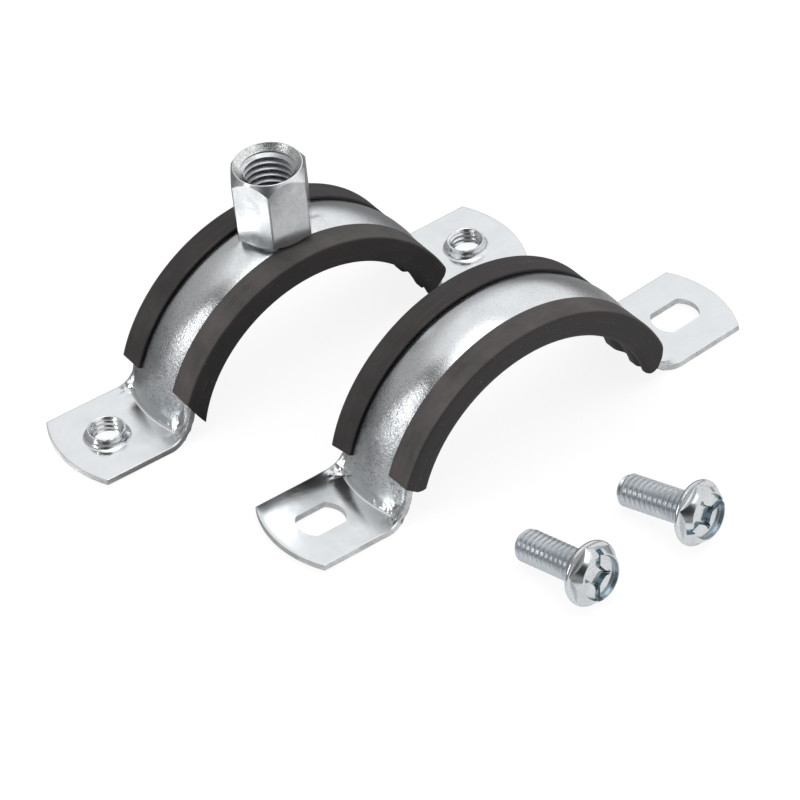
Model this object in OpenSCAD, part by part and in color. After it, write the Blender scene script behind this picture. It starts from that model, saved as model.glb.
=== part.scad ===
// Rubber-lined pipe clamp in two halves, laid out beside each other with their two screws.
// The boss half stands at the back and carries a welded hexagon nut and threaded ear collars.
// The plain half stands in front of it and has double-D holes in its ears. Both arches stand up.

/* [Strap] */
// Width of the strap over the ears
strap_w = 20; // [17:0.5:24]
// How far each edge of the strap is drawn in over the arch
edge_draw = 1; // [0.2:0.1:1.5]
// Thickness of the sheet
sheet_t = 1.2; // [0.8:0.1:1.5]
// Outside radius of the arch at the edges of the strap
edge_r = 28.5; // [26:0.1:40]
// Height of the crown above the edges of the strap
crown_rise = 2.2; // [1.6:0.1:2.6]
// Radius of the crown across the strap
crown_round = 13; // [9:0.5:14]
// Depth of the arch's centre below the underside of the ears
centre_drop = 3.4; // [1:0.1:6]
// Radius of the bend between arch and ear, on its upper side
bend_r = 4.5; // [3:0.5:5]

/* [Ears] */
// From the line of the bend to the middle of the ear's hole
bend_to_hole = 7.25; // [7:0.05:12]
// From the middle of the hole to the corners at the ear's end
hole_to_corner = 6.5; // [5:0.1:9]
// Bulge of the ear's rounded end beyond its corners
end_bulge = 2.5; // [1:0.5:5]
// Upward tilt of both ears of the plain half, in degrees
plain_tilt = 2.6; // [0:0.1:5]
// Upward tilt of the boss half's left ear, in degrees
boss_tilt = 1.7; // [0:0.1:5]
// Length of the double-D hole along the strap
slot_len = 8.8; // [7.4:0.1:9.6]
// Width of the double-D hole between its flats
slot_w = 6.5; // [6.2:0.1:7.2]

/* [Threaded collars] */
// Height of the drawn collar above the ear
collar_h = 1.8; // [1:0.1:3]
// Wall of the collar at its rim
collar_wall = 0.45; // [0.3:0.05:1.2]
// Radius that leads from the ear into the collar
collar_fillet = 1.1; // [0.3:0.1:1.2]

/* [Liner] */
// Thickness of the rubber at the sides and over the lips
rubber_t = 1.25; // [0.8:0.05:1.8]
// Thickness of the lips that grip the strap from outside
lip_t = 1.85; // [1.4:0.05:2.4]
// Width of metal left open between the two lips
lip_gap = 10.3; // [7:0.1:11]
// Thickness of the web under the strap, ribs included
web_t = 2; // [1.5:0.05:3.5]
// Depth of the grooves between the ribs
groove_depth = 0.9; // [0.4:0.1:1.2]
// Distance between neighbouring ribs
rib_pitch = 6.4; // [5:0.1:7]
// Width of a rib
rib_w = 1.8; // [1:0.1:2.5]
// Rounding of the liner's outer corners
liner_round = 0.9; // [0.3:0.1:1]
// Angle above the horizontal at which the liner ends, in degrees
liner_end = 20.5; // [19:0.5:30]
// How far the cut end leans out of the radius, in degrees
liner_cut = 18; // [0:1:20]
// Play between strap and liner
fit = 0.05; // [0.02:0.01:0.15]

/* [Welded nut] */
// Width of the nut across its flats
nut_af = 12.8; // [12:0.1:15]
// Height of the hexagon
nut_h = 13.8; // [9:0.1:20]
// Gap between the liner's lips and the nut's underside
nut_lift = 0.45; // [0.2:0.05:1]
// Turn of the nut about its axis, in degrees
nut_turn = -5; // [-30:1:30]
// Minor diameter of the M10 thread
nut_minor = 8.5; // [6.8:0.1:9]
// Diameter of the countersink's mouth
nut_mouth = 11.9; // [10:0.1:11.9]
// Depth of the countersink
nut_sink = 2.2; // [0.5:0.1:3]
// Height of the chamfer on the nut's corners
nut_chamfer = 1.9; // [0.5:0.1:2.5]
// Width of the rim between countersink and chamfer
nut_rim = 0.2; // [0.1:0.05:0.5]
// Height of the weld metal that closes the bore over the crown, above the nut's underside
nut_floor = 0.3; // [0.1:0.05:1]

/* [Screws] */
// Outside diameter of the M6 thread
thread_d = 6; // [5:0.5:6]
// Minor diameter of the M6 thread
thread_minor = 5; // [4.2:0.1:5.1]
// Length of the screw under its head
screw_len = 15.5; // [10:0.5:25]
// Diameter of the flange
flange_d = 11.6; // [11:0.1:14]
// Thickness of the flange
flange_t = 0.9; // [0.6:0.1:1.5]
// Width of the hexagon across its flats
head_af = 9.6; // [8:0.1:10]
// Turn of the hexagon from the slot, in degrees
head_hex_turn = 19; // [0:1:59]
// Height of the whole head
head_h = 2.9; // [2.4:0.1:5]
// Diameter of the head's flat top
head_top = 8.6; // [7:0.1:9]
// Length of each arm of the cross recess from the axis
cross_arm = 2.7; // [2:0.1:3]
// Depth of the cross recess
cross_depth = 1.8; // [1:0.1:2.2]
// Width of the cross recess and of the slot
cross_w = 1.3; // [0.8:0.1:1.6]
// Depth of the slot across the head
slot_depth = 0.8; // [0.4:0.1:1.2]

/* [Layout] */
// Boss half's place beside the plain half, along the straps
boss_x = -15.1; // [-30:0.1:30]
// Distance between the middles of the two straps
boss_y = 41.8; // [30:0.1:60]
// Turn of the boss half on the table, in degrees
boss_turn = -1.46; // [-5:0.1:5]
// First screw: head along the straps
screw_1_x = -16.2; // [-30:0.1:-10]
// First screw: head in front of the plain half's middle line
screw_1_y = -44.4; // [-60:0.1:-40]
// First screw: direction from tip to head, in degrees
screw_1_turn = -83.1; // [-100:0.1:-70]
// First screw: roll about its own axis, in degrees
screw_1_roll = -16; // [-180:1:180]
// Second screw: head along the straps
screw_2_x = 6.2; // [4:0.1:30]
// Second screw: head in front of the plain half's middle line
screw_2_y = -45.1; // [-60:0.1:-40]
// Second screw: direction from tip to head, in degrees
screw_2_turn = -78.1; // [-100:0.1:-70]
// Second screw: roll about its own axis, in degrees
screw_2_roll = 93; // [-180:1:180]

/* [Hidden] */
$fn = 96;
eps = 0.01;
// Depth by which an arc dips into the line or arc that it is tangent to
dip = 0.002;
zinc = [0.78, 0.8, 0.82];
rubber = [0.2, 0.19, 0.19];

// Strap in side view: radii about the arch's axis, and the bend that leads into each ear
edge_in = edge_r - sheet_t;
crown_r = edge_r + crown_rise;
crown_mid = crown_r - crown_round;
arch_w = strap_w - 2 * edge_draw;
bend_z = sheet_t + bend_r;
bend_x = sqrt(pow(edge_r + bend_r, 2) - pow(bend_z + centre_drop, 2));
bend_angle = asin((bend_z + centre_drop) / (edge_r + bend_r));
tangent_x = edge_r * cos(bend_angle);

// Ear in plan, measured from the line of the bend, and its corners and rounded end from the middle
ear_len = bend_to_hole + hole_to_corner + end_bulge;
corner_x = bend_x + bend_to_hole + hole_to_corner;
end_r = (pow(strap_w / 2, 2) + pow(end_bulge, 2)) / (2 * end_bulge);
ear_end_mid = corner_x + end_bulge - end_r;

// Liner: its rib crests are the bore that holds the pipe
web_out = edge_in - fit;
bore_r = web_out - web_t;
lip_out = edge_r + fit + lip_t;
liner_w = arch_w + 2 * (fit + rubber_t);

// Nut: heights above the floor, on the apex of the boss half's arch
apex_z = crown_r - centre_drop;
nut_base = lip_out - centre_drop + nut_lift;
nut_top = nut_base + nut_h;
foot_r = lip_gap / 2 - 0.3;

// Screw: it rests on the edge of its flange and on the first turn of its thread
tip_chamfer = 0.6;
screw_lean = atan((flange_d - thread_d) / 2 / (screw_len - tip_chamfer));
function head_reach(turn) =
    let (facing = cos(screw_lean) * sin(abs(turn)))
    head_h * facing + head_top / 2 * sqrt(1 - facing * facing);

// The row's origin: below the middle of everything that lies on the floor
function half_reach(tilt) = bend_x + ear_len * cos(tilt) + bend_z * sin(tilt);
row_left = boss_x - half_reach(boss_tilt) * cos(boss_turn);
row_right = half_reach(plain_tilt);
row_back = boss_y + strap_w / 2 * cos(boss_turn) + corner_x * sin(abs(boss_turn));
row_front = min(screw_1_y - head_reach(screw_1_turn), screw_2_y - head_reach(screw_2_turn));
row_mid = [(row_left + row_right) / 2, (row_front + row_back) / 2];

// Turns a section drawn as radius and width about the arch's axis, from one angle to another
module turn_about_arch(from, to) {
    translate([0, 0, -centre_drop])
        rotate([90, 0, 0])
            rotate([0, 0, from])
                rotate_extrude(angle = to - from)
                    children();
}

// Side view of everything below a surface of the strap: sunk = 0 is the outer surface,
// sunk = sheet_t the inner one
module side_below(sunk, depth, left_tilt, right_tilt) {
    along = [cos(bend_angle), sin(bend_angle)];
    past = ear_len + depth / 10;
    difference() {
        union() {
            translate([0, -centre_drop]) circle(r = edge_r - sunk);
            for (side = [0, 1])
                mirror([side, 0]) {
                    tilt = side == 0 ? right_tilt : left_tilt;
                    out = [cos(tilt), sin(tilt)];
                    foot = [bend_x, bend_z] + (bend_r + sunk) * [sin(tilt), -cos(tilt)];
                    polygon([[0, -centre_drop] - 5 * along, [bend_x, bend_z], foot, foot + past * out,
                        [bend_x + past, -depth], [-5, -depth]]);
                }
        }
        for (side = [-1, 1])
            translate([side * bend_x, bend_z]) circle(r = bend_r + sunk + dip);
    }
}

// Outline of the strap in plan: drawn in over the arch, full width and rounded ends at the ears
module strap_outline() {
    narrow = arch_w / 2;
    wide = strap_w / 2;
    far = corner_x + end_bulge + 1;
    difference() {
        polygon([[-far, -wide], [-bend_x, -wide], [-tangent_x, -narrow], [tangent_x, -narrow],
            [bend_x, -wide], [far, -wide], [far, wide], [bend_x, wide],
            [tangent_x, narrow], [-tangent_x, narrow], [-bend_x, wide], [-far, wide]]);
        for (side = [0, 1])
            mirror([side, 0])
                difference() {
                    translate([ear_end_mid, -strap_w]) square([2 * end_r, 2 * strap_w]);
                    translate([ear_end_mid, 0]) circle(r = end_r);
                }
    }
}

// Flat sheet of the strap in its final bends, before the crown is drawn
module strap_sheet(left_tilt, right_tilt) {
    intersection() {
        rotate([90, 0, 0])
            linear_extrude(strap_w + 2, center = true)
                difference() {
                    side_below(0, 15, left_tilt, right_tilt);
                    side_below(sheet_t, 40, left_tilt, right_tilt);
                }
        translate([0, 0, -1])
            linear_extrude(crown_r + 1) strap_outline();
    }
}

// Crown of the arch, solid, down to where it runs out in the middle of the bends' sheet
module crown() {
    away = [cos(bend_angle), sin(bend_angle)] * 2 * edge_r;
    intersection() {
        turn_about_arch(0, 180)
            intersection() {
                translate([crown_mid, 0]) circle(r = crown_round);
                translate([edge_r - sheet_t * 0.4, -arch_w / 2]) square([crown_r, arch_w]);
            }
        rotate([90, 0, 0])
            linear_extrude(strap_w, center = true) {
                translate([0, -centre_drop])
                    polygon([[0, 0], away, [away[0], 3 * edge_r], [-away[0], 3 * edge_r], [-away[0], away[1]]]);
                for (side = [-1, 1])
                    translate([side * bend_x, bend_z]) circle(r = bend_r + sheet_t / 2);
            }
    }
}

// Space under the crown
module crown_hollow() {
    translate([0, 0, -centre_drop])
        rotate([90, 0, 0])
            rotate_extrude()
                intersection() {
                    translate([crown_mid, 0]) circle(r = crown_round - sheet_t);
                    translate([edge_r / 2, -strap_w / 2]) square([edge_r, strap_w]);
                }
}

// Whole strap of one half without its ears' holes, with a tilt for each ear
module strap(left_tilt, right_tilt) {
    difference() {
        union() {
            strap_sheet(left_tilt, right_tilt);
            crown();
        }
        crown_hollow();
    }
}

// Moves its children from an ear's own frame to the strap's: the ear's top face is z = 0
// and its hole is on the z axis
module on_ear(tilt) {
    translate([bend_x, 0, bend_z])
        rotate([0, -tilt, 0])
            translate([bend_to_hole, 0, -bend_r])
                children();
}

// Double-D hole: a circle cut off by two flats along the strap
module double_d_hole() {
    translate([0, 0, -2 * sheet_t])
        linear_extrude(3 * sheet_t)
            intersection() {
                circle(d = slot_len);
                square([slot_len + 1, slot_w], center = true);
            }
}

// Drawn collar on an ear, solid, with its fillet to the sheet
module collar_body() {
    rim_r = thread_d / 2 + collar_wall;
    rotate_extrude()
        difference() {
            translate([0, -sheet_t / 2]) square([rim_r + collar_fillet, sheet_t / 2 + collar_h]);
            translate([rim_r + collar_fillet, collar_fillet]) circle(r = collar_fillet);
            translate([rim_r, collar_fillet]) square([collar_fillet + 1, collar_h + 1]);
        }
}

// Threaded hole through collar and sheet, flared at both mouths
module collar_hole() {
    flare = (thread_d - thread_minor) / 2;
    translate([0, 0, -sheet_t - 1]) cylinder(d = thread_minor, h = sheet_t + collar_h + 2);
    translate([0, 0, collar_h - flare]) cylinder(d1 = thread_minor, d2 = thread_d + 2 * eps, h = flare + eps);
    translate([0, 0, -sheet_t - eps]) cylinder(d1 = thread_d + 2 * eps, d2 = thread_minor, h = flare + eps);
}

// Section of the channel that the strap fills in the liner, with the play around it
module liner_channel() {
    translate([web_out, -arch_w / 2 - fit]) square([sheet_t + 2 * fit, arch_w + 2 * fit]);
    intersection() {
        translate([crown_mid, 0]) circle(r = crown_round + fit);
        translate([web_out, -arch_w / 2]) square([crown_r, arch_w]);
    }
}

// Outline of the liner's section, with round corners
module liner_outline() {
    inner = liner_round;
    translate([bore_r + inner, -liner_w / 2]) square([lip_out - bore_r - 2 * inner, liner_w]);
    translate([bore_r, -liner_w / 2 + inner]) square([lip_out - bore_r, liner_w - 2 * inner]);
    for (r = [bore_r + inner, lip_out - inner], s = [-1, 1])
        translate([r, s * (liner_w / 2 - inner)]) circle(r = inner);
}

// Section of the liner: web with ribs inside, side walls, and lips over the strap
module liner_section() {
    wall_in = liner_w / 2 - rubber_t - liner_round / 2;
    inner_rib = rib_pitch - rib_w / 2;
    outer_rib = rib_pitch + rib_w / 2;
    difference() {
        liner_outline();
        liner_channel();
        translate([edge_r, -lip_gap / 2]) square([lip_out, lip_gap]);
        for (s = [0, 1])
            mirror([0, s]) {
                translate([bore_r - 1, rib_w / 2]) square([1 + groove_depth, inner_rib - rib_w / 2]);
                translate([bore_r - 1, outer_rib]) square([1 + groove_depth, wall_in - outer_rib]);
            }
    }
}

// What is kept of the full turn of the liner: the part above its two cut ends
module liner_extent() {
    cut = liner_end + liner_cut;
    end_at = [edge_r * cos(liner_end), edge_r * sin(liner_end) - centre_drop];
    reach = [lip_out * cos(cut), lip_out * sin(cut)] / 2;
    foot = end_at - reach;
    tip = end_at + reach;
    rotate([90, 0, 0])
        linear_extrude(2 * liner_w, center = true)
            polygon([foot, tip, [tip[0], crown_r], [-tip[0], crown_r], [-tip[0], tip[1]], [-foot[0], foot[1]]]);
}

// Rubber liner of one half
module liner() {
    intersection() {
        turn_about_arch(0, 180) liner_section();
        liner_extent();
    }
}

// Hexagon of the nut under the cone that chamfers its corners
module nut_hexagon() {
    corner_r = nut_af / 2 / cos(30);
    top_r = nut_mouth / 2 + nut_rim;
    slope = (corner_r - top_r) / nut_chamfer;
    intersection() {
        translate([0, 0, nut_base]) cylinder(r = corner_r, h = nut_h, $fn = 6);
        translate([0, 0, nut_base]) cylinder(r1 = top_r + slope * nut_h, r2 = top_r, h = nut_h);
        translate([0, 0, nut_base]) cylinder(r1 = nut_af / 2, r2 = nut_af / 2 + 2 * nut_h, h = nut_h);
    }
}

// Weld foot that fills the gap between the hexagon and the crowned arch
module nut_foot() {
    difference() {
        translate([0, 0, apex_z - crown_rise])
            cylinder(r1 = foot_r - crown_rise / 4, r2 = foot_r, h = nut_base - apex_z + crown_rise + eps);
        turn_about_arch(60, 120) translate([crown_mid, 0]) circle(r = crown_round);
    }
}

// One screw, on its axis, with the underside of its flange at z = 0 and the tip below
module screw() {
    corner_r = head_af / 2 / cos(30);
    difference() {
        union() {
            translate([0, 0, -screw_len + tip_chamfer]) cylinder(d = thread_d, h = screw_len - tip_chamfer);
            translate([0, 0, -screw_len]) cylinder(d1 = thread_minor, d2 = thread_d, h = tip_chamfer);
            cylinder(d = flange_d, h = flange_t);
            intersection() {
                rotate([0, 0, head_hex_turn]) cylinder(r = corner_r, h = head_h, $fn = 6);
                cylinder(d1 = head_top + 2 * head_h, d2 = head_top, h = head_h);
            }
        }
        translate([0, 0, head_h])
            for (turn = [0, 90])
                rotate([0, 0, turn]) cube([2 * cross_arm, cross_w, 2 * cross_depth], center = true);
        translate([0, 0, head_h]) cube([flange_d, cross_w, 2 * slot_depth], center = true);
    }
}

// Puts a piece of the boss half in its place on the table
module at_boss_half() {
    translate([boss_x - row_mid[0], boss_y - row_mid[1], 0])
        rotate([0, 0, boss_turn])
            children();
}

// Puts a piece of the plain half in its place on the table
module at_plain_half() {
    translate([-row_mid[0], -row_mid[1], 0]) children();
}

// Lays a screw on the table on its flange and its thread, with its head towards the turn
module lying_screw(x, y, turn, roll) {
    translate([x - row_mid[0], y - row_mid[1], flange_d / 2 * cos(screw_lean)])
        rotate([0, 90 - screw_lean, turn])
            rotate([0, 0, roll])
                screw();
}

module boss_half() {
    color(zinc)
        at_boss_half()
            difference() {
                union() {
                    strap(boss_tilt, 0);
                    on_ear(0) collar_body();
                    mirror([1, 0, 0]) on_ear(boss_tilt) collar_body();
                }
                on_ear(0) collar_hole();
                mirror([1, 0, 0]) on_ear(boss_tilt) collar_hole();
            }
}

module boss_liner() {
    color(rubber) at_boss_half() liner();
}

module boss_nut() {
    color(zinc)
        at_boss_half()
            difference() {
                union() {
                    rotate([0, 0, nut_turn]) nut_hexagon();
                    nut_foot();
                }
                translate([0, 0, nut_base + nut_floor])
                    cylinder(d = nut_minor, h = nut_h - nut_floor + 1);
                translate([0, 0, nut_top - nut_sink])
                    cylinder(d1 = nut_minor, d2 = nut_mouth, h = nut_sink + eps);
            }
}

module plain_half() {
    color(zinc)
        at_plain_half()
            difference() {
                strap(plain_tilt, plain_tilt);
                on_ear(plain_tilt) double_d_hole();
                mirror([1, 0, 0]) on_ear(plain_tilt) double_d_hole();
            }
}

module plain_liner() {
    color(rubber) at_plain_half() liner();
}

module screw_1() {
    color(zinc) lying_screw(screw_1_x, screw_1_y, screw_1_turn, screw_1_roll);
}

module screw_2() {
    color(zinc) lying_screw(screw_2_x, screw_2_y, screw_2_turn, screw_2_roll);
}

boss_half();
boss_liner();
boss_nut();
plain_half();
plain_liner();
screw_1();
screw_2();
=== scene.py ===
from math import atan2, cos, exp, pi, radians, sin, sqrt

import bmesh
import bpy
from mathutils import Matrix, Vector, noise


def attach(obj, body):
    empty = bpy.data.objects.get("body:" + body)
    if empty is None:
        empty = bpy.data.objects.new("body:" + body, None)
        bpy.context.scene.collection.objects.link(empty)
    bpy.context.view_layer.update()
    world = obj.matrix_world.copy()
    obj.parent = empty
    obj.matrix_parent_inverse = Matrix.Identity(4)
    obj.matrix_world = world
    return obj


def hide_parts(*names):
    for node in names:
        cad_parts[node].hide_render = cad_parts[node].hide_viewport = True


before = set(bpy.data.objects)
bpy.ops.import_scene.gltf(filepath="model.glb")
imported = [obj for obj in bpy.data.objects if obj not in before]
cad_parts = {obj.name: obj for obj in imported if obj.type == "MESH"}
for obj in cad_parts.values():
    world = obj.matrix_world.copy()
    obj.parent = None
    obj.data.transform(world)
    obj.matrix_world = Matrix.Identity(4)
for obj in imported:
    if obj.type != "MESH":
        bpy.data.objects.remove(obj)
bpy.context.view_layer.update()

# Camera. A long lens looks down on the parts from their front left, and the picture is square.
# Its place, turn and focal length are those from which the real parts' outlines line up.
mm = 0.001
lens_right = Vector((0.79350172, -0.60265542, -0.0846255))
lens_up = Vector((0.45037624, 0.48801122, 0.74766723))
lens_back = Vector((-0.40928751, -0.63138855, 0.65865942))
stand = Vector((-319.678, -474.975, 510.880)) * mm
camera = bpy.data.objects.new("camera", bpy.data.cameras.new("camera"))
camera.data.sensor_width = 36
camera.data.lens = 199.17
camera.data.clip_end = 10
turn = Matrix((lens_right, lens_up, lens_back)).transposed().to_4x4()
camera.matrix_world = Matrix.Translation(stand) @ turn
bpy.context.scene.collection.objects.link(camera)
bpy.context.scene.camera = camera

# Zinc. Every steel piece is pressed or cold formed and then plated bright: a bluish silver
# coat with a fine sandy grain, cloudy patches of duller plating and a few rubbed spots.


def add(tree, kind, links=None, **settings):
    """Adds a node; links gives its inputs, by name or number, as values or as sockets."""
    made = tree.nodes.new("ShaderNode" + kind)
    for key, value in settings.items():
        setattr(made, key, value)
    for key, value in (links or {}).items():
        if isinstance(value, bpy.types.NodeSocket):
            tree.links.new(value, made.inputs[key])
        else:
            made.inputs[key].default_value = value
    return made


def ramp(tree, value, *stops):
    """A colour ramp over a value: each stop is (position, grey or colour)."""
    made = add(tree, "ValToRGB", {"Fac": value})
    scale = made.color_ramp
    while len(scale.elements) < len(stops):
        scale.elements.new(0.5)
    for element, (position, shade) in zip(scale.elements, stops):
        element.position = position
        element.color = (*shade, 1) if isinstance(shade, tuple) else (shade, shade, shade, 1)
    return made.outputs["Color"]


def reckon(tree, operation, one, two):
    """One value worked out from two."""
    return add(tree, "Math", {0: one, 1: two}, operation=operation).outputs[0]


def remap(tree, value, low=0.0, high=1.0, to_low=0.0, to_high=1.0):
    """Stretches the range from low to high onto another, and stops at its ends."""
    limits = {"From Min": low, "From Max": high, "To Min": to_low, "To Max": to_high}
    return add(tree, "MapRange", {"Value": value, **limits}).outputs[0]


def speckle(tree, place, scale, detail, roughness):
    """Noise with about as many features to the metre as scale says."""
    links = {"Vector": place, "Scale": scale, "Detail": detail, "Roughness": roughness}
    return add(tree, "TexNoise", links).outputs[0]


def mixed(tree, share, low, high, way="MIX"):
    """Goes from the colour low to the colour high, or lays high over low in another way."""
    links = {"Factor": share, 6: low, 7: high}
    return add(tree, "Mix", links, data_type="RGBA", blend_type=way).outputs[2]


def skin_group(name, **inputs):
    """A new shader group that puts out a colour, a roughness and a normal, and what goes in."""
    tree = bpy.data.node_groups.new(name, "ShaderNodeTree")
    for label, kind in inputs.items():
        tree.interface.new_socket(label, in_out="INPUT", socket_type="NodeSocket" + kind)
    for label, kind in (("Color", "Color"), ("Roughness", "Float"), ("Normal", "Vector")):
        tree.interface.new_socket(label, in_out="OUTPUT", socket_type="NodeSocket" + kind)
    return tree, tree.nodes.new("NodeGroupInput").outputs


def put_out(tree, **results):
    """Links a group's results to its outputs."""
    out = tree.nodes.new("NodeGroupOutput").inputs
    for label, socket in results.items():
        tree.links.new(socket, out[label])


def coated(tree, coat):
    """Links a group's colour, roughness and normal to a material's surface, and gives that."""
    surface = tree.nodes["Principled BSDF"]
    for plug, socket in (("Base Color", "Color"), ("Roughness", "Roughness"), ("Normal", "Normal")):
        tree.links.new(coat.outputs[socket], surface.inputs[plug])
    return surface


def plating_group():
    """Zinc plate: cloudy patches, rubbed spots and sandy grain, more of each where worked."""
    tree, into = skin_group("zinc_plating", Place="Vector", Pale="Color", Dull="Color",
                            Grain="Float", Smooth="Float", Matt="Float", Worked="Float")
    clouds = speckle(tree, into["Place"], 210, 5, 0.62)
    sand = speckle(tree, into["Place"], 3400, 3, 0.7)
    spots = speckle(tree, into["Place"], 900, 4, 0.7)
    patches = ramp(tree, clouds, (0.36, 0.0), (0.66, 1.0))
    specks = ramp(tree, spots, (0.6, 0.0), (0.7, 1.0))
    duller = reckon(tree, "MAXIMUM", patches, specks)
    share = remap(tree, into["Worked"], to_low=0.12, to_high=0.6)
    dulled = reckon(tree, "MULTIPLY", duller, share)
    tone = mixed(tree, dulled, into["Pale"], into["Dull"])
    grit = ramp(tree, sand, (0.34, 0.4), (0.45, 0.86), (0.54, 1.0), (0.66, 1.0))
    gritted = mixed(tree, into["Worked"], tone, grit, "MULTIPLY")
    gloss = remap(tree, duller, to_low=into["Smooth"], to_high=into["Matt"])
    spotty = reckon(tree, "MULTIPLY", spots, into["Worked"])
    relief = reckon(tree, "ADD", sand, spotty)
    drawn = remap(tree, into["Worked"], to_low=0.1)
    rough = reckon(tree, "MULTIPLY", into["Grain"], drawn)
    bump = add(tree, "Bump", {"Height": relief, "Strength": rough, "Distance": 0.12 * mm})
    put_out(tree, Color=gritted, Roughness=gloss, Normal=bump.outputs[0])
    return tree


plating = plating_group()


def zinc(name, grain, smooth, matt, pale=(0.86, 0.88, 0.895), dull=(0.6, 0.63, 0.66), worked=0.5,
         flat=False):
    """A zinc plated finish with its own brightness, grain and gloss. Worked is how gritty the
    press left it, and flat keeps that off the ears."""
    finish = bpy.data.materials.new(name)
    finish.use_nodes = True
    tree = finish.node_tree
    place = add(tree, "TexCoord").outputs["Object"]
    if flat:
        height = add(tree, "SeparateXYZ", {0: place}).outputs["Z"]
        risen = remap(tree, height, high=30 * mm)
        worked = ramp(tree, risen, (0.073, 0.0), (0.18, 1.0), (0.5, 1.0), (0.8, 0.25))
    values = {"Place": place, "Pale": (*pale, 1), "Dull": (*dull, 1), "Grain": grain,
              "Smooth": smooth, "Matt": matt, "Worked": worked}
    surface = coated(tree, add(tree, "Group", values, node_tree=plating))
    surface.inputs["Metallic"].default_value = 1
    return finish


# Straps. A 20 mm strip of 1.2 mm steel is pressed in one stroke into each half: the arch with
# its crowned middle, a sharp bend at each foot and the flat ears with their punched holes.
strap_zinc = zinc("strap_zinc", grain=0.6, smooth=0.13, matt=0.24, pale=(0.79, 0.81, 0.825),
                  dull=(0.52, 0.55, 0.58), flat=True)
punched_zinc = zinc("punched_zinc", grain=0.8, smooth=0.3, matt=0.5, pale=(0.86, 0.87, 0.88),
                    dull=(0.2, 0.21, 0.215), worked=0.6)
sheet = 1.2
edge_r, drop = 28.5, 3.4  # the arch's radius at its edges; its middle's depth below the table
crown_mid, crown_round = 17.7, 13.0  # the crown is part of a ring: its middle radius, its round
foot_rise, foot_fall, foot_half = 2.1, 1.3, 7.3  # the crown's foot, lower towards its sides
bend_r, bend_x, bend_z = 4.5, 31.7205, 5.7  # the bend at the strip's edges and its middle
sharp_r = 0.6  # the bend beside the crown's foot
arch_half, ear_half = 9, 10  # half widths of the strip on the arch and on the ears
widen_x, widen = 27.395, 4.3255  # where it widens, and over what length
end_x, end_r = bend_x - 5, 21.25  # the round of the ear's end
to_hole, punch_long = 7.25, 6
punched = 1  # the place of punched_zinc among a strap's finishes
arch_rows, bend_rows, ear_rows, columns = 60, 12, 20, 60
half_rows = arch_rows + bend_rows + ear_rows
boss_place = Matrix.Translation((-7.59776, 39.85629, 0)) @ Matrix.Rotation(radians(-1.46), 4, "Z")
plain_place = Matrix.Translation((7.50224, -1.94371, 0))


def ease(value, low, high):
    """Goes smoothly from 0 at low to 1 at high."""
    part = min(max((value - low) / (high - low), 0.0), 1.0)
    return part * part * (3 - 2 * part)


def fade(value, full, gone):
    """Goes smoothly from 1 at full to 0 at gone."""
    return ease(-value, -gone, -full)


def above(value, soft=0.3):
    """The value where it is above zero, run out softly to zero below."""
    return (value + sqrt(value * value + soft * soft)) / 2


def crown_rise(across, down):
    """Rise of the crown over the strap's edges: round along the arch, flat topped at its foot."""
    arch = above(sqrt(crown_round ** 2 - across ** 2) - edge_r + crown_mid)
    foot = above((foot_rise - foot_fall * (across / foot_half) ** 2)
                 * (1 - ease(abs(across), 6.7, 8.5)), 0.12)
    near = ease(down, 0.74, 1.0)
    return arch * (1 - near) + foot * near


def pressed(row, q, side, tilt, longer):
    """Where a point of the flat strip goes in the press: row counts from the apex to an ear's end,
    closer towards the foot, and q goes from -1 to 1 across. The bend is wide at the strip's edges
    and sharp where the crown's foot stands on the ear."""
    across = arch_half * q
    bend = sharp_r + (bend_r - sharp_r) * ease(abs(across), 6.3, 8.8)
    root = edge_r + crown_rise(across, 1.0)
    along, upward = Vector((cos(tilt), sin(tilt))), Vector((-sin(tilt), cos(tilt)))
    foot = Vector((bend_x, bend_z + drop)) - bend_r * upward
    lifted = foot + bend * upward
    reach = lifted.dot(along)
    slide = sqrt(reach ** 2 - lifted.length_squared + (root + bend) ** 2) - reach
    middle = lifted + slide * along
    low = atan2(middle.y, middle.x)
    if row <= arch_rows:
        part = row / arch_rows
        down = 1.6 * part - 0.6 * part * part
        angle = pi / 2 - down * (pi / 2 - low)
        spot = (edge_r + crown_rise(across, down)) * Vector((cos(angle), sin(angle)))
    elif row <= arch_rows + bend_rows:
        angle = pi + low + (row - arch_rows) / bend_rows * (pi / 2 + tilt - low)
        spot = middle + bend * Vector((cos(angle), sin(angle)))
    else:
        start = foot + slide * along
        far = end_x + sqrt(end_r ** 2 - (ear_half * q) ** 2) + longer
        part = (row - arch_rows - bend_rows) / ear_rows
        spot = start + part * (far - start.x) / along.x * along
    wide = arch_half + (ear_half - arch_half) * min(max((spot.x - widen_x) / widen, 0.0), 1.0)
    return Vector((side * spot.x, q * wide, spot.y - drop))


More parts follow.
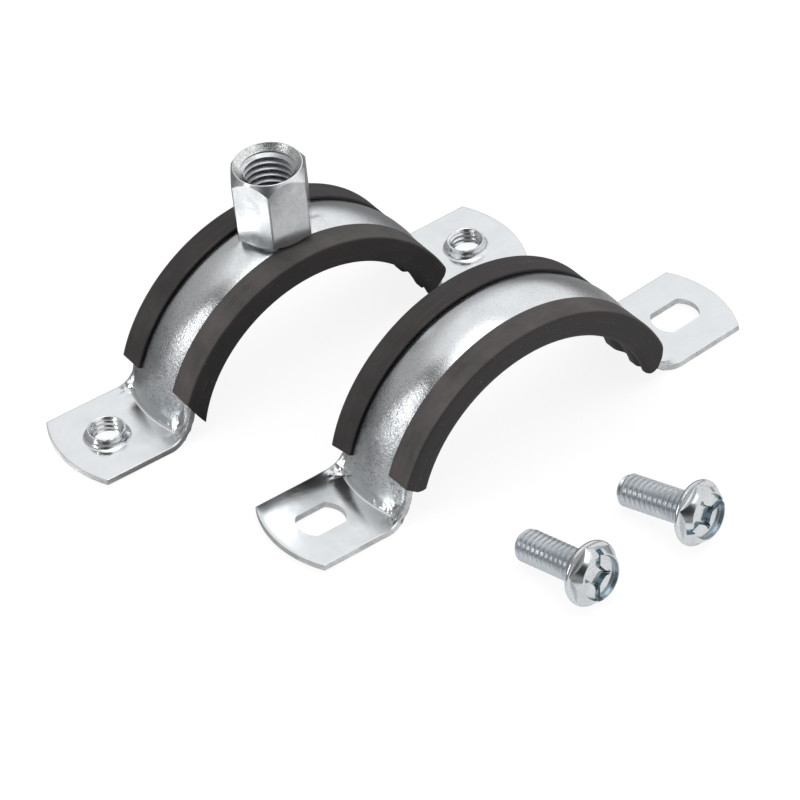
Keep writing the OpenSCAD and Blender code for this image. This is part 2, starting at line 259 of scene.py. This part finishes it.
def pressed_strip(left_tilt, right_tilt, left_longer=0.0, rolled=0.0):
    """The strip's outer surface after the press, with the crumpled corners beside the crown's feet;
    rolled is how far the left ear's back edge is drawn down."""
    strip = bmesh.new()
    bmesh.ops.create_grid(strip, x_segments=2 * half_rows, y_segments=columns, size=1)
    for vert in strip.verts:
        row, q = round(vert.co.x * half_rows), vert.co.y
        if row > 0:
            vert.co = pressed(row, q, 1, right_tilt, 0)
        else:
            vert.co = pressed(-row, q, -1, left_tilt, left_longer)
    strip.normal_update()
    moves = []
    for vert in strip.verts:
        x, y, z = vert.co
        corner = (ease(abs(y), 6.0, 7.4) * fade(abs(y), 8.6, 9.7)
                  * ease(abs(x), 26.4, 28.4) * fade(abs(x), 30.4, 31.6))
        crease = (fade(abs(y), 7.0, 8.2) * ease(abs(x), 28.2, 29.2)
                  * fade(z, 2.2, 3.4) * ease(z, 1.15, 1.5) * fade(abs(x), 31.4, 33.0))
        crumple = noise.turbulence(vert.co * 0.75, 3, True) - 0.5
        wave = noise.noise(vert.co * 0.16) * 0.05 + noise.noise(vert.co * 0.5) * 0.014
        folds = (corner + crease * 0.5) * crumple * 0.4
        roll = rolled * ease(-x, 30.5, 33.5) * (0.5 - (max(y - 5.5, 0) / 4.5) ** 2)
        moves.append((vert, vert.normal * (folds + wave * ease(z, 2, 8)) + Vector((0, 0, roll))))
    for vert, move in moves:
        vert.co += move
    return strip


def shown(name, shape, *finishes):
    """Turns a bmesh into an object of the scene; a piece of the clamp is still in millimetres
    about its own middle."""
    mesh = bpy.data.meshes.new(name)
    shape.to_mesh(mesh)
    shape.free()
    piece = bpy.data.objects.new(name, mesh)
    for finish in finishes:
        mesh.materials.append(finish)
    bpy.context.scene.collection.objects.link(piece)
    return piece


def settle(piece):
    """Makes a piece's modifiers part of its mesh."""
    bpy.context.view_layer.update()
    ready = piece.evaluated_get(bpy.context.evaluated_depsgraph_get())
    done = bpy.data.meshes.new_from_object(ready)
    piece.modifiers.clear()
    piece.data = done


def cut(piece, cutter, operation="DIFFERENCE", finish=0):
    """Cuts a piece by another, which is used up; finish numbers the material of the cut faces."""
    for face in cutter.data.polygons:
        face.material_index = finish
    step = piece.modifiers.new("cut", "BOOLEAN")
    step.solver, step.operation, step.object = "EXACT", operation, cutter
    settle(piece)
    bpy.data.objects.remove(cutter)


def laid(piece, place, node, smooth_angle=32):
    """Lays a finished piece in its place on the table, in metres, and hands it to the frame."""
    piece.data.transform(Matrix.Scale(mm, 4) @ place)
    piece.data.shade_smooth()
    piece.data.set_sharp_from_angle(angle=radians(smooth_angle))
    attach(piece, "root")
    if node:
        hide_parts(node)


def rod(radius, length, sides=96, place=Matrix.Identity(4)):
    """A straight round or many-sided rod along z, about its own middle."""
    shape = bmesh.new()
    bmesh.ops.create_cone(shape, cap_ends=True, segments=sides, radius1=radius, radius2=radius,
                          depth=length, matrix=place)
    return shape


def on_ear(side, tilt):
    """Moves a shape from an ear's own frame, top at z 0 and hole on z, to the strap's."""
    bend = Matrix.Translation((side * bend_x, 0, bend_z)) @ Matrix.Rotation(-side * tilt, 4, "Y")
    return bend @ Matrix.Translation((side * to_hole, 0, -bend_r))


def ear_punch(shape, side, tilt):
    """Stands a punch's shape over an ear's hole."""
    bmesh.ops.transform(shape, verts=shape.verts, matrix=on_ear(side, tilt))
    return shown("punch", shape)


def double_d():
    """Punch for a plain ear's hole: a round of 8.8 mm with two flats 6.5 mm apart."""
    hole_r, flat, soft = 4.4, 3.25, 0.5
    punch = rod(hole_r, punch_long)
    for way in (-1, 1):
        geom = punch.verts[:] + punch.edges[:] + punch.faces[:]
        bmesh.ops.bisect_plane(punch, geom=geom, plane_co=(0, way * flat, 0),
                               plane_no=(0, way, 0), clear_outer=True)
        bmesh.ops.holes_fill(punch, edges=[edge for edge in punch.edges if edge.is_boundary])
    corners = [edge for edge in punch.edges if edge.is_manifold and edge.calc_face_angle() > 0.3
               and abs(edge.verts[0].co.z - edge.verts[1].co.z) > punch_long / 2]
    bmesh.ops.bevel(punch, geom=corners, offset=soft, offset_type="OFFSET", affect="EDGES",
                    segments=4, profile=0.5, material=-1)
    bmesh.ops.recalc_face_normals(punch, faces=punch.faces)
    return punch


def thicken(piece):
    """Gives the strip its thickness and the soft edges that punching and plating leave."""
    wall = piece.modifiers.new("wall", "SOLIDIFY")
    wall.thickness, wall.offset, wall.material_offset_rim = sheet, -1, punched
    edge = piece.modifiers.new("edge", "BEVEL")
    edge.width, edge.segments, edge.use_clamp_overlap = 0.16, 3, False
    edge.limit_method, edge.angle_limit = "ANGLE", radians(55)
    settle(piece)
    for vert in piece.data.vertices:
        vert.co.z = max(vert.co.z, 0.0)


plain_tilt = radians(2.6)
plain_strip = pressed_strip(plain_tilt, plain_tilt, left_longer=0.3, rolled=0.16)
plain_strap = shown("plain_strap", plain_strip, strap_zinc, punched_zinc)
thicken(plain_strap)
for side in (-1, 1):
    cut(plain_strap, ear_punch(double_d(), side, plain_tilt), finish=punched)
laid(plain_strap, plain_place, "plain_half")

boss_tilts = {-1: radians(1.7), 1: 0.0}
boss_strip = pressed_strip(boss_tilts[-1], boss_tilts[1])
boss_strap = shown("boss_strap", boss_strip, strap_zinc, punched_zinc)
thicken(boss_strap)
for side, tilt in boss_tilts.items():
    cut(boss_strap, ear_punch(rod(3.3, punch_long), side, tilt))

# Beads of weld metal squeezed out round the nut's foot: place on the crown, width and height.
beads = ((6.0, -2.8, 1.1, 0.5), (7.3, -1.9, 0.6, 0.22), (6.4, -4.3, 0.7, 0.25),
         (-4.2, -4.8, 0.9, 0.35), (-6.9, 1.2, 0.7, 0.2))
for vert in boss_strap.data.vertices:
    squeezed = sum(high * exp(-((vert.co.x - x) ** 2 + (vert.co.y - y) ** 2) / wide ** 2)
                   for x, y, wide, high in beads)
    if squeezed > 0.01 and vert.normal.z > 0.5:
        vert.co += vert.normal * squeezed
laid(boss_strap, boss_place, "boss_half")

# Collars. The boss half's ear holes are drawn up out of the sheet and tapped M6, so each stands
# 1.8 mm high with a thin ragged rim, a fillet round its foot and the first turns of thread.
collar_zinc = zinc("collar_zinc", grain=0.35, smooth=0.12, matt=0.24)


def turned(outline, steps=96, closed=False):
    """A shape turned a full round about z from (radius, height) points, outside face outwards."""
    shape = bmesh.new()
    verts = [shape.verts.new((radius, 0, height)) for radius, height in outline]
    pairs = list(zip(verts, verts[1:])) + ([(verts[-1], verts[0])] if closed else [])
    edges = [shape.edges.new(pair) for pair in pairs]
    bmesh.ops.spin(shape, geom=verts + edges, cent=(0, 0, 0), axis=(0, 0, 1), dvec=(0, 0, 0),
                   angle=2 * pi, steps=steps, use_merge=True, use_normal_flip=False,
                   use_duplicate=False)
    bmesh.ops.remove_doubles(shape, verts=shape.verts, dist=1e-5)
    bmesh.ops.recalc_face_normals(shape, faces=shape.faces)
    return shape


def sawn(shape, at, away):
    """Cuts a shape off by a plane through at, on the side that away points to, and caps it."""
    geom = shape.verts[:] + shape.edges[:] + shape.faces[:]
    bmesh.ops.bisect_plane(shape, geom=geom, dist=1e-5, plane_co=at, plane_no=away,
                           clear_outer=True)
    rim = [edge for edge in shape.edges if edge.is_boundary
           and all(abs((vert.co - Vector(at)).dot(Vector(away))) < 1e-3 for vert in edge.verts)]
    bmesh.ops.contextual_create(shape, geom=rim)


def threaded(minor, major, pitch, low, high, crest, root, steps=64):
    """A threaded rod from low to high: crest and root are the shares of a turn that lie flat."""
    shape = bmesh.new()
    slope = (1 - crest - root) / 2
    profile = [(minor, 0), (minor, root / 2), (major, root / 2 + slope),
               (major, root / 2 + slope + crest), (minor, 1 - root / 2), (minor, 1)]
    start = low - 1.5 * pitch
    turns = int((high - low) / pitch) + 4
    verts = [shape.verts.new((radius, 0, start + height * pitch)) for radius, height in profile]
    edges = [shape.edges.new(pair) for pair in zip(verts, verts[1:])]
    bmesh.ops.spin(shape, geom=verts + edges, cent=(0, 0, 0), axis=(0, 0, 1),
                   dvec=(0, 0, pitch / steps), angle=2 * pi * turns, steps=turns * steps,
                   use_merge=False, use_normal_flip=False, use_duplicate=False)
    bmesh.ops.remove_doubles(shape, verts=shape.verts, dist=1e-4)
    sawn(shape, (0, 0, low), (0, 0, -1))
    sawn(shape, (0, 0, high), (0, 0, 1))
    bmesh.ops.recalc_face_normals(shape, faces=shape.faces)
    return shape


fillet_r = 1.15
for side, name in ((-1, "left_collar"), (1, "right_collar")):
    fillet = [(4.62 - fillet_r * sin(radians(a)), 1.1 - fillet_r * cos(radians(a)))
              for a in range(0, 91, 10)]
    rim = [(3.46, 1.5), (3.42, 1.7), (3.33, 1.79), (3.2, 1.8), (3.08, 1.74), (2.98, 1.62),
           (2.35, 1.0), (2.35, -1.1), (3.3, -1.15), (3.4, -1.0), (3.4, -0.3)]
    drawn = turned(fillet + rim, closed=True)
    for vert in drawn.verts:
        if vert.co.z > 1.4:
            ragged = noise.noise(Vector((vert.co.x * 2.1, vert.co.y * 2.1, side * 5))) * 0.11
            vert.co += Vector((vert.co.x * 0.12, vert.co.y * 0.12, 0.6)) * ragged
    collar = shown(name, drawn, collar_zinc)
    cut(collar, shown("tap", threaded(2.55, 2.82, 1.0, -2, 2.4, 0.15, 0.3)))
    collar.data.transform(on_ear(side, boss_tilts[side]))
    laid(collar, boss_place, None, 40)

# Nut. A 13 mm hexagon bar turned to a cone at the top, countersunk and tapped M10, stands on the
# crown of the boss half and is projection welded to it, with a little metal squeezed out.
nut_zinc = zinc("nut_zinc", grain=0.12, smooth=0.16, matt=0.26, worked=0.3)
tapped_zinc = zinc("tapped_zinc", grain=0.3, smooth=0.26, matt=0.4, pale=(0.62, 0.64, 0.66),
                   dull=(0.36, 0.38, 0.4))
sunk_zinc = zinc("sunk_zinc", grain=0.5, smooth=0.12, matt=0.24, pale=(0.94, 0.95, 0.95),
                 dull=(0.2, 0.22, 0.23), worked=0.8)
tapped, sunk = 1, 2  # the places of these two among the nut's finishes
nut_af, nut_base, nut_top = 12.8, 27.45, 41.25
nut_turn = Matrix.Rotation(radians(25), 4, "Z")
rim_r, cone_h = 6.15, 1.9  # the turned cone: its top radius, and its height at the corners
cone_low = 14  # the cone goes on to this depth, where it is well outside the bar

hexagon = rod(nut_af / sqrt(3), nut_top - nut_base, 6,
              Matrix.Translation((0, 0, (nut_top + nut_base) / 2)))
upright = [edge for edge in hexagon.edges if abs(edge.verts[0].co.z - edge.verts[1].co.z) > 5]
bmesh.ops.bevel(hexagon, geom=upright, offset=0.22, offset_type="OFFSET", affect="EDGES",
                segments=3, profile=0.5, material=-1)
nut = shown("nut", hexagon, nut_zinc, tapped_zinc, sunk_zinc)
slope = (nut_af / sqrt(3) - rim_r) / cone_h
shell = turned([(0, nut_top), (rim_r - 0.08, nut_top), (rim_r, nut_top - 0.04),
                (rim_r + cone_low * slope, nut_top - cone_low), (6.9, nut_base + 0.5),
                (6.3, nut_base), (0, nut_base)], 128)
cut(nut, shown("shell", shell), "INTERSECT")
tap = threaded(4.25, 4.95, 1.35, nut_base - 1, nut_top + 1, 0.3, 0.07, 96)
cut(nut, shown("tap", tap), finish=tapped)
sink = turned([(0, nut_top - 1.75), (4.2, nut_top - 1.75), (4.7, nut_top - 1.25),
               (5.4, nut_top - 0.62), (5.9, nut_top - 0.1), (6.03, nut_top + 0.02),
               (6.4, nut_top + 1), (0, nut_top + 1)], 128)
cut(nut, shown("sink", sink), finish=sunk)
nut.data.transform(nut_turn)
laid(nut, boss_place, "boss_nut", 30)

weld = turned([(0, nut_base - 1.6), (5.2, nut_base - 1.9), (5.35, nut_base - 1.2),
               (5.1, nut_base - 0.5), (4.85, nut_base - 0.1), (4.7, nut_base + 0.3),
               (0, nut_base + 0.3)], 72)
for vert in weld.verts:
    if vert.co.xy.length > 4:
        vert.co += vert.co.normalized() * noise.noise(vert.co * 0.8) * 0.12
weld_foot = shown("weld_foot", weld, nut_zinc)
laid(weld_foot, boss_place, None, 50)

# Rubber. Each half is lined with a moulded rubber channel: ribs inside grip the pipe, side walls
# wrap the strap's edges and two lips fold over its outside. It is pushed on and cut off square.
# The second colour is the paler brownish grey of a painted sheen on the lips' outsides.
rubber_black, sheen_grey = (0.027, 0.0245, 0.0245), (0.165, 0.152, 0.148, 1)
bloom_black = (0.041, 0.037, 0.036)
streak_grey, dust_grey = (0.12, 0.109, 0.106, 1), (0.13, 0.12, 0.115, 1)


def rubber_group():
    """Moulded rubber: long drawn streaks, dust and a dull bloom, paler where a painted sheen is
    laid on the lips.
    """
    tree, into = skin_group("rubber_skin", Along="Vector", Place="Vector", Handled="Float")
    stretched = add(tree, "Mapping", {"Vector": into["Along"], "Scale": (45, 2000, 1)}).outputs[0]
    streaks = speckle(tree, stretched, 1, 4, 0.65)
    bloom = speckle(tree, into["Place"], 160, 4, 0.6)
    dust = speckle(tree, into["Place"], 2400, 2, 0.5)
    pale = ramp(tree, streaks, (0.56, 0.0), (0.8, 1.0))
    cloudy = ramp(tree, bloom, (0.35, 0.0), (0.7, 1.0))
    motes = ramp(tree, dust, (0.7, 0.0), (0.76, 1.0))
    lit = reckon(tree, "MULTIPLY", pale, cloudy)
    base = ramp(tree, cloudy, (0.0, rubber_black), (1.0, bloom_black))
    patch = remap(tree, cloudy, to_low=0.5)
    # A painted sheen: the lips' marked outsides are mixed towards a paler grey, broken up by the
    # streaks and the bloom.
    sheen_breakup = reckon(tree, "ADD", ramp(tree, streaks, (0.46, 0.0), (0.74, 0.2)), patch)
    sheen_share = reckon(tree, "MULTIPLY", into["Handled"], sheen_breakup)
    painted_sheen = mixed(tree, sheen_share, base, sheen_grey)
    streaked = mixed(tree, lit, painted_sheen, streak_grey)
    dusty = mixed(tree, motes, streaked, dust_grey)
    gloss = remap(tree, cloudy, to_low=0.5, to_high=0.66)
    relief = reckon(tree, "ADD", streaks, dust)
    bump = add(tree, "Bump", {"Height": relief, "Strength": 0.25, "Distance": 0.06 * mm})
    put_out(tree, Color=dusty, Roughness=gloss, Normal=bump.outputs[0])
    return tree


rubber = bpy.data.materials.new("rubber")
rubber.use_nodes = True
tree = rubber.node_tree
maps = add(tree, "TexCoord").outputs
# The mark that says where the painted sheen goes.
sheen_mask = add(tree, "Attribute", attribute_name="painted_sheen").outputs["Fac"]
skin = add(tree, "Group", {"Along": maps["UV"], "Place": maps["Object"], "Handled": sheen_mask},
           node_tree=rubber_group())
coated(tree, skin).inputs["Specular IOR Level"].default_value = 0.3

bore_r, web_out, lip_out = 25.25, 27.25, 30.4  # radii of the bore, the web's back and the lips
wall_y, lip_y, channel_y = 10.3, 5.15, 9.05  # half widths outside, between the lips and inside
lip_round, wall_round, bore_round = 0.25, 0.6, 0.9


def quarter(radius, across, size, first, steps=6):
    """Points of a quarter round of the section about a middle, from the angle first on."""
    angles = [radians(first + 90 * step / steps) for step in range(steps + 1)]
    return [(radius + size * cos(angle), across + size * sin(angle)) for angle in angles]


def far_side(points):
    """The same points on the section's other side, in the order that goes on round it."""
    return [(radius, -across) for radius, across in reversed(points)]


outer_half = quarter(lip_out - lip_round, lip_y + lip_round, lip_round, -90)
outer_half += [(lip_out, 7.0), (lip_out, 8.6)]
outer_half += quarter(lip_out - wall_round, wall_y - wall_round, wall_round, 0)
outer_half += [(29.0, wall_y + 0.02), (27.6, wall_y + 0.02), (26.8, wall_y)]
outer_half += quarter(bore_r + bore_round, wall_y - bore_round, bore_round, 90, 5)
for first, last, deep in ((8.9, 7.1, 0.6), (5.6, 0.9, 0.9)):
    for step in range(13):
        part = step / 12
        groove = deep * (1 - cos(2 * pi * part)) / 2
        outer_half.append((bore_r + groove, first + (last - first) * part))
under_lip = [(crown_mid + sqrt(13.06 ** 2 - y * y), y) for y in (7.25, 6.8, 6.3, 5.8, 5.4)]
inner_half = [(web_out, channel_y), (28.55, channel_y), *under_lip]
section = outer_half + far_side(outer_half) + far_side(inner_half) + inner_half


def liner_shape(ends):
    """The channel's section spun along the arch and cut off; ends shifts each cut end a little."""
    shape = bmesh.new()
    start, sweep = radians(8), 164
    verts = [shape.verts.new((r * cos(start), y, r * sin(start) - drop)) for r, y in section]
    edges = [shape.edges.new(pair) for pair in zip(verts, verts[1:] + verts[:1])]
    bmesh.ops.spin(shape, geom=verts + edges, cent=(0, 0, -drop), axis=(0, -1, 0), dvec=(0, 0, 0),
                   angle=radians(sweep), steps=sweep, use_merge=False, use_normal_flip=False,
                   use_duplicate=False)
    end, lean = radians(20.5), radians(38.5)
    for side in (-1, 1):
        sawn(shape, (side * edge_r * cos(end), 0, edge_r * sin(end) - drop),
             (side * sin(lean), 0, -cos(lean)))
    bmesh.ops.recalc_face_normals(shape, faces=shape.faces)
    for vert in shape.verts:
        x, y, z = vert.co
        side = 1 if x > 0 else -1
        height = Vector((x, z + drop))
        angle = height.angle(Vector((side, 0)))
        near = 1 - ease(angle, radians(24), radians(48))
        shift = ends[side](height.length, y) * near / edge_r
        if shift:
            angle -= shift
            vert.co = (side * height.length * cos(angle), y, height.length * sin(angle) - drop)
    return shape


def streak_map(piece):
    """Lays a map over a liner in metres: u runs along the arch, v across its section. It also marks
    the lips' outsides for a painted sheen that makes them paler, most on the front and towards the
    low left end."""
    layer = piece.data.uv_layers.new(name="along").data
    for loop in piece.data.loops:
        x, y, z = piece.data.vertices[loop.vertex_index].co
        spoke = Vector((x, z + drop))
        layer[loop.index].uv = (spoke.angle(Vector((1, 0))) * edge_r * mm, (y + spoke.length) * mm)
    painted_sheen = piece.data.attributes.new("painted_sheen", "FLOAT", "POINT").data
    for vert in piece.data.vertices:
        x, y, z = vert.co
        # Painted sheen: on the outer surfaces only, most on the front lip and towards the low left
        # end.
        outer = ease(Vector((x, z + drop)).length, 30.1, 30.36)
        low_left = ease(-x, 8, 22)
        sheen_share = 0.55 + 0.3 * low_left if y < 0 else 0.12 + 0.2 * low_left
        painted_sheen[vert.index].value = outer * sheen_share


def boss_left(radius, across):
    """How much further down the boss half's left end of the rubber reaches, in millimetres."""
    return -0.9 + (lip_out - radius) * 0.6 if across < 0 else 0.3


def plain_left(radius, across):
    """The same for the plain half's left end."""
    if across > 0:
        return 1.5 + 0.6 * ease(across, 6, 10)
    return -0.5 - 0.72 * max(27.2 - radius, 0)


def boss_right(radius, across):
    """The same for the boss half's right end, cut nearly straight with a worn outer corner."""
    return -0.5 + 0.1 * (lip_out - radius) - 0.5 * ease(radius, 29.2, 30.4)


def plain_right(radius, across):
    """The same for the plain half's right end, whose inner side sticks out and is rounded."""
    inwards = (lip_out - radius) / (lip_out - bore_r)
    return 10 * inwards - 8.3 * inwards ** 2


for name, node, place, left_end, right_end in (
        ("boss_rubber", "boss_liner", boss_place, boss_left, boss_right),
        ("plain_rubber", "plain_liner", plain_place, plain_left, plain_right)):
    liner = shown(name, liner_shape({-1: left_end, 1: right_end}), rubber)
    streak_map(liner)
    laid(liner, place, node, 38)

# Screws. Cold headed M6 screws with a hexagon over a flange, a sunk top with a cross recess and a
# full slot, so that any driver fits; the thread is rolled. Both lie tilted on flange and thread.
screw_zinc = zinc("screw_zinc", grain=0.15, smooth=0.1, matt=0.2, pale=(0.72, 0.74, 0.755),
                  dull=(0.36, 0.39, 0.41), worked=0.4)
rolled_zinc = zinc("rolled_zinc", grain=0.08, smooth=0.24, matt=0.34, pale=(0.62, 0.65, 0.68),
                   dull=(0.4, 0.44, 0.48), worked=0.2)
# The slot, the cross and the sunk top's wall get a much darker, bluer zinc: painted shade in the
# recesses.
painted_shade_zinc = zinc("painted_shade_zinc", grain=0.3, smooth=0.18, matt=0.34, pale=(0.38, 0.46, 0.5),
                   dull=(0.12, 0.16, 0.18))
formed, rolled, shade_painted = 0, 1, 2  # the places of these three among a screw's finishes
screw_len, tip_r = 15.5, 2.3
flange_r, hex_af, head_h, head_top = 5.8, 9.6, 2.9, 8.6
top_sink = 0.8
slot_long, slot_wide, slot_deep = 14, 1.15, 1.05
star_power, star_reach, star_deep = 0.7, 3.15, 2.5  # the cross, a star with hollow sides
wing_deep = 2.1  # its four narrow wings
lean = radians(10.6429)


def screw_head(name):
    """A screw's head without its flange: a coned hexagon with its sunk top, slot and cross."""
    shape = rod(hex_af / sqrt(3), 2.4, 6,
                Matrix.Rotation(radians(49), 4, "Z") @ Matrix.Translation((0, 0, 1.7)))
    head = shown(name, shape, screw_zinc, rolled_zinc, painted_shade_zinc)
    floor = head_h - top_sink
    cone = turned([(0, head_h), (head_top / 2 - 0.1, head_h), (head_top / 2, head_h - 0.08),
                   (5.5, 0.95), (5.9, 0.3), (0, 0.2)])
    cut(head, shown("cone", cone), "INTERSECT")
    hollow = turned([(0, floor), (3.72, floor), (3.85, floor + 0.1),
                     (head_top / 2 - 0.28, head_h + 0.05), (0, head_h + 0.05)])
    cut(head, shown("hollow", hollow))
    slot = bmesh.new()
    size = Matrix.Diagonal((slot_long, slot_wide, 2 * slot_deep, 1))
    bmesh.ops.create_cube(slot, size=1, matrix=Matrix.Translation((0, 0, head_h)) @ size)
    cut(head, shown("slot", slot), finish=shade_painted)
    star = rod(1.0, 2)
    for vert in star.verts:
        deep = vert.co.z < 0
        angle = atan2(vert.co.y, vert.co.x)
        round_off = abs(cos(angle)) ** star_power + abs(sin(angle)) ** star_power
        vert.co.xy *= round_off ** (-1 / star_power) * star_reach * (0.66 if deep else 1)
        vert.co.z = head_h - star_deep if deep else floor + 0.05
    cut(head, shown("star", star), finish=shade_painted)
    for wing_turn in (0, pi / 2):
        wing = bmesh.new()
        bmesh.ops.create_cube(wing, size=2)
        for vert in wing.verts:
            deep = vert.co.z < 0
            vert.co = (vert.co.x * (1.5 if deep else 2.9), vert.co.y * (0.3 if deep else 0.42),
                       head_h - wing_deep if deep else floor + 0.06)
        bmesh.ops.rotate(wing, verts=wing.verts, cent=(0, 0, 0),
                         matrix=Matrix.Rotation(wing_turn, 3, "Z"))
        cut(head, shown("wing", wing), finish=shade_painted)
    # The sunk top's wall is given the darker zinc as well: painted shade.
    for face in head.data.polygons:
        on_wall = 3.66 < face.center.xy.length < 4.1
        if on_wall and floor + 0.02 < face.center.z < head_h - 0.02:
            face.material_index = shade_painted
    return head


def screw(name, node, x, y, turn_deg, roll_deg):
    """One screw: rolled shank with its point, flange and head; then laid on the table."""
    shank = threaded(2.4, 2.98, 1.1, -screw_len, 0.4, 0.14, 0.2)
    for vert in shank.verts:
        most = tip_r + (vert.co.z + screw_len) * 0.9
        wide = vert.co.xy.length
        if wide > most:
            vert.co.xy *= most / wide
    flange = turned([(0, 0), (5.55, 0), (5.72, 0.08), (flange_r, 0.25), (flange_r, 0.55),
                     (5.74, 0.7), (5.6, 0.8), (5.2, 0.9), (4.6, 1.0), (0, 1.2)])
    head = screw_head(name)
    whole = bmesh.new()
    whole.from_mesh(head.data)
    for shape, finish in ((shank, rolled), (flange, formed)):
        for face in shape.faces:
            face.material_index = finish
        part = bpy.data.meshes.new("part")
        shape.to_mesh(part)
        shape.free()
        whole.from_mesh(part)
        bpy.data.meshes.remove(part)
    whole.to_mesh(head.data)
    whole.free()
    lying = (Matrix.Translation((x, y, flange_r * cos(lean)))
             @ Matrix.Rotation(radians(turn_deg), 4, "Z") @ Matrix.Rotation(pi / 2 - lean, 4, "Y")
             @ Matrix.Rotation(radians(roll_deg), 4, "Z"))
    laid(head, lying, node, 30)


screw("front_screw", "screw_1", -8.69776, -46.34371, -83.1, -16)
screw("side_screw", "screw_2", 13.70224, -47.04371, -78.1, 93)

# Table and light. A white table in a dimmer room: bright air above and behind at the right, a dim
# corner at the back left with one tall soft box in it, and the dark place where the camera stands.
white, table_grey = (1, 1, 1, 1), (0.2, 0.2, 0.2, 1)
seen_white = 0.87  # how bright the table glows to the camera, beside the light that falls on it


def measure(tree, operation, one, two):
    """One number worked out from two vectors."""
    return add(tree, "VectorMath", {0: one, 1: two}, operation=operation).outputs["Value"]


sweep = bpy.data.materials.new("sweep")
sweep.use_nodes = True
tree = sweep.node_tree
tree.nodes.remove(tree.nodes["Principled BSDF"])
rays = add(tree, "LightPath").outputs
seen = reckon(tree, "MAXIMUM", rays["Is Camera Ray"], rays["Is Transmission Ray"])
spot = add(tree, "TexCoord").outputs["Object"]
# For every ray but the camera's the table glows more to the front and the left, and most in a pool
# left of the boss half: painted light on the table, seen in the metal's reflections.
backward = remap(tree, add(tree, "SeparateXYZ", {0: spot}).outputs["Y"], -0.1, 0.1)
front = ramp(tree, backward, (0, 0.85), (0.2, 0.82), (0.35, 0.66), (0.44, 0.54), (0.485, 0.48),
             (0.55, 0.3), (0.62, 0.16), (0.75, 0.07), (1, 0.05))
rightward = remap(tree, measure(tree, "DOT_PRODUCT", spot, (0.7, -0.7, 0)), -0.1, 0.0)
left = ramp(tree, rightward, (0.2, 0.45), (0.6, 0.5), (0.8, 1))
uneven_glow = reckon(tree, "MULTIPLY", front, left)
away = remap(tree, measure(tree, "DISTANCE", spot, (-0.061, 0.046, 0)), 0.0, 0.04)
pool = ramp(tree, away, (0.26, 1.0), (0.5, 0.0))
mirrored = reckon(tree, "MAXIMUM", uneven_glow, pool)
strength = add(tree, "Mix", {0: seen, 2: mirrored, 3: seen_white}, data_type="FLOAT").outputs[0]
glow = add(tree, "Emission", {"Color": white, "Strength": strength}).outputs[0]
lit = add(tree, "BsdfDiffuse", {"Color": table_grey}).outputs[0]
both = add(tree, "AddShader", {0: lit, 1: glow}).outputs[0]
tree.links.new(both, tree.nodes["Material Output"].inputs[0])
ground = bmesh.new()
bmesh.ops.create_grid(ground, x_segments=1, y_segments=1, size=3)
for vert in ground.verts:
    vert.co.z = -0.02 * mm
table = shown("table", ground, sweep)

room = bpy.data.worlds.new("room")
bpy.context.scene.world = room
room.use_nodes = True
tree = room.node_tree
look = add(tree, "TexCoord").outputs["Generated"]
toward_bright = measure(tree, "DOT_PRODUCT", look, (0.492, -0.087, 0.866))
toward_camera = measure(tree, "DOT_PRODUCT", look, (-0.49, -0.52, 0.7))
toward_gap = measure(tree, "DOT_PRODUCT", look, (-0.568, 0.152, 0.809))
sky = ramp(tree, toward_bright, (0, 0.4), (0.23, 0.43), (0.4, 0.5), (0.5, 0.66), (0.6, 0.9),
           (0.68, 1), (0.85, 1.0))
gap = ramp(tree, toward_gap, (0.945, 1), (0.985, 0.3))
stand_in = ramp(tree, toward_camera, (0.85, 1), (0.965, 0.1))
low = ramp(tree, add(tree, "SeparateXYZ", {0: look}).outputs["Z"], (0, 0.3), (0.2, 1))
for dimmed in (stand_in, gap, low):
    sky = reckon(tree, "MULTIPLY", sky, dimmed)
shade = mixed(tree, add(tree, "LightPath").outputs["Is Camera Ray"], sky, white)
tree.links.new(shade, tree.nodes["Background"].inputs["Color"])

aim = Vector((0, 0, 0.02))
for name, at, size, level in (("left_box", (-1.013, 0.234, 0.6), (0.2, 0.66), 4.6),
                              ("top_box", (0.05, -0.1, 0.8), (0.5, 0.5), 1.2)):
    lamp = bpy.data.objects.new(name, bpy.data.lights.new(name, "AREA"))
    lamp.data.shape = "RECTANGLE"
    lamp.data.size, lamp.data.size_y = size
    lamp.data.energy = level * pi * size[0] * size[1]
    lamp.location = at
    lamp.rotation_euler = (aim - Vector(at)).to_track_quat("-Z", "Y").to_euler()
    bpy.context.scene.collection.objects.link(lamp)

bpy.context.scene.view_settings.view_transform = "Standard"
